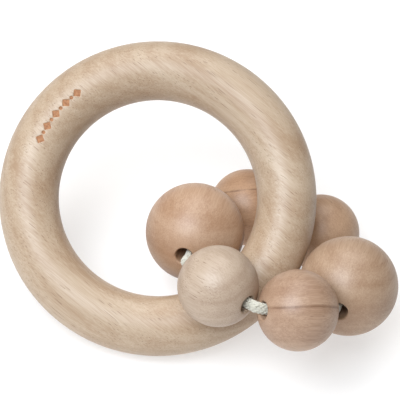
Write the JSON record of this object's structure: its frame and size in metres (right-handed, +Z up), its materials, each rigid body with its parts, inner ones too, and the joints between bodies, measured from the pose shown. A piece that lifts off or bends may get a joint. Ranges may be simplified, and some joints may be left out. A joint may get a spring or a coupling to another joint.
{
  "type": "baby rattle",
  "caption": "Wooden ring rattle: a turned grip ring with a loop of large and small round beads on a cotton cord round its tube.",
  "frame": {"origin": "middle of the rattle's footprint, on the surface that it lies on", "axes": "+Z up from that surface, +X from the ring towards the bead loop, -Y towards the low front edge of the leaning ring"},
  "size_m": [0.103, 0.075, 0.0519],
  "materials": {
    "ring_wood": "sanded smooth, thin matt wax",
    "tan_bead_wood": "sanded smooth, thin matt wax",
    "pale_bead_wood": "sanded smooth, thin matt wax",
    "cotton_cord": "braided cotton"
  },
  "bodies": {
    "bead_loop": {"bead_cord": "cotton_cord"},
    "knot": {"cord_knot": "cotton_cord"},
    "ring": {"grip_ring": "ring_wood"},
    "large_bead_inner": {"large_bead_inner": "tan_bead_wood"},
    "small_bead_front_inner": {"small_bead_front_inner": "pale_bead_wood"},
    "small_bead_front_outer": {"small_bead_front_outer": "tan_bead_wood"},
    "large_bead_outer": {"large_bead_outer": "tan_bead_wood"},
    "small_bead_back_outer": {"small_bead_back_outer": "tan_bead_wood"},
    "small_bead_back_inner": {"small_bead_back_inner": "tan_bead_wood"}
  },
  "joints": [
    {"name": "ring_rock", "type": "hinge", "parent": "bead_loop", "child": "knot", "pos_m": [-0.00101, -0.00016, 0.01898], "axis": [0.9697, -0.2443, 0.0005], "range_deg": [0, 73]},
    {"name": "ring_turn", "type": "hinge", "parent": "knot", "child": "ring", "pos_m": [-0.01154, 0.00329, 0.02595], "axis": [0, -0.5678, 0.8231], "continuous": true},
    {"name": "large_bead_inner_spin", "type": "hinge", "parent": "bead_loop", "child": "large_bead_inner", "pos_m": [-0.00101, -0.00016, 0.01898], "axis": [-0.1481, -0.9501, 0.2745], "continuous": true},
    {"name": "small_bead_front_inner_spin", "type": "hinge", "parent": "bead_loop", "child": "small_bead_front_inner", "pos_m": [0.00659, -0.0244, 0.02787], "axis": [0.7983, -0.5826, 0.1523], "continuous": true},
    {"name": "small_bead_front_outer_spin", "type": "hinge", "parent": "bead_loop", "child": "small_bead_front_outer", "pos_m": [0.02663, -0.02754, 0.02713], "axis": [0.8891, 0.3877, -0.2431], "continuous": true},
    {"name": "large_bead_outer_spin", "type": "hinge", "parent": "bead_loop", "child": "large_bead_outer", "pos_m": [0.03904, -0.01025, 0.019], "axis": [0.1714, 0.9475, -0.2701], "continuous": true},
    {"name": "small_bead_back_outer_spin", "type": "hinge", "parent": "bead_loop", "child": "small_bead_back_outer", "pos_m": [0.0314, 0.01428, 0.01], "axis": [-0.6641, 0.715, -0.2184], "continuous": true},
    {"name": "small_bead_back_inner_spin", "type": "hinge", "parent": "bead_loop", "child": "small_bead_back_inner", "pos_m": [0.01162, 0.01927, 0.00999], "axis": [-0.8855, -0.3945, 0.2454], "continuous": true}
  ]
}
